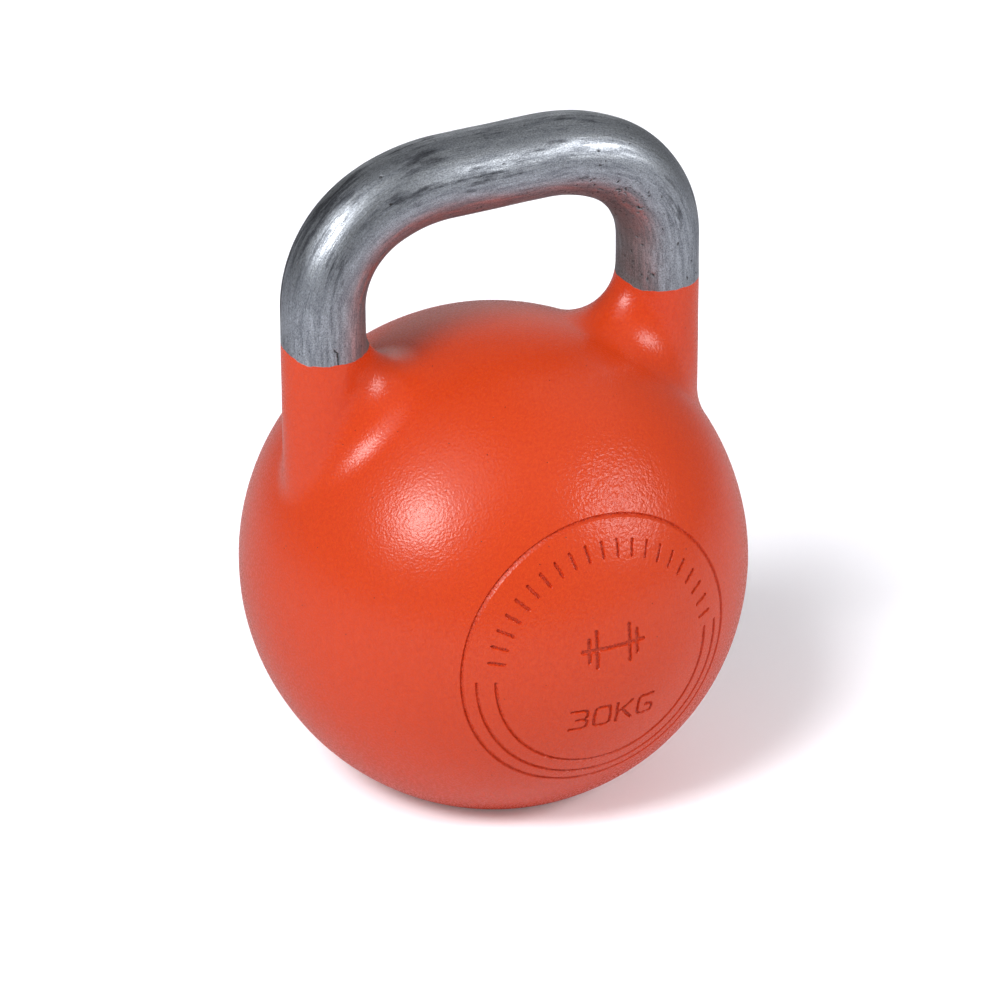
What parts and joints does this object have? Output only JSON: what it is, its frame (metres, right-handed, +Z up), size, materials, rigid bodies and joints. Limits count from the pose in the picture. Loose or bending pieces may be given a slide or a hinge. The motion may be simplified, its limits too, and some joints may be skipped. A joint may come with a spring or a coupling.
{
  "type": "kettlebell",
  "caption": "Competition kettlebell: a painted steel ball on a flat base, with two blended horns, a bare steel loop handle, and ringed weight markings on both faces.",
  "frame": {"origin": "centre of the flat base, on the ground under the ball's centre", "axes": "+Z up, through the ball's centre and the middle of the handle; X along the handle's bar; a marked face looks along -Y and another along +Y"},
  "size_m": [0.214, 0.214, 0.2896],
  "materials": {
    "bare_steel": "ground bare cast steel, with pits and dark oxide left in places",
    "orange_paint": "satin orange powder coat over cast steel, with fine orange peel",
    "shot_ballast": "iron shot set in resin",
    "zinc_plated_steel": "zinc-plated turned steel",
    "seal_rubber": "matt black nitrile rubber"
  },
  "bodies": {
    "root": {"handle": "bare_steel", "ball_shell": "orange_paint", "weld_left": "orange_paint", "weld_right": "orange_paint", "trim_ballast": "shot_ballast", "base_plug": "zinc_plated_steel", "plug_seal": "seal_rubber"}
  },
  "joints": []
}
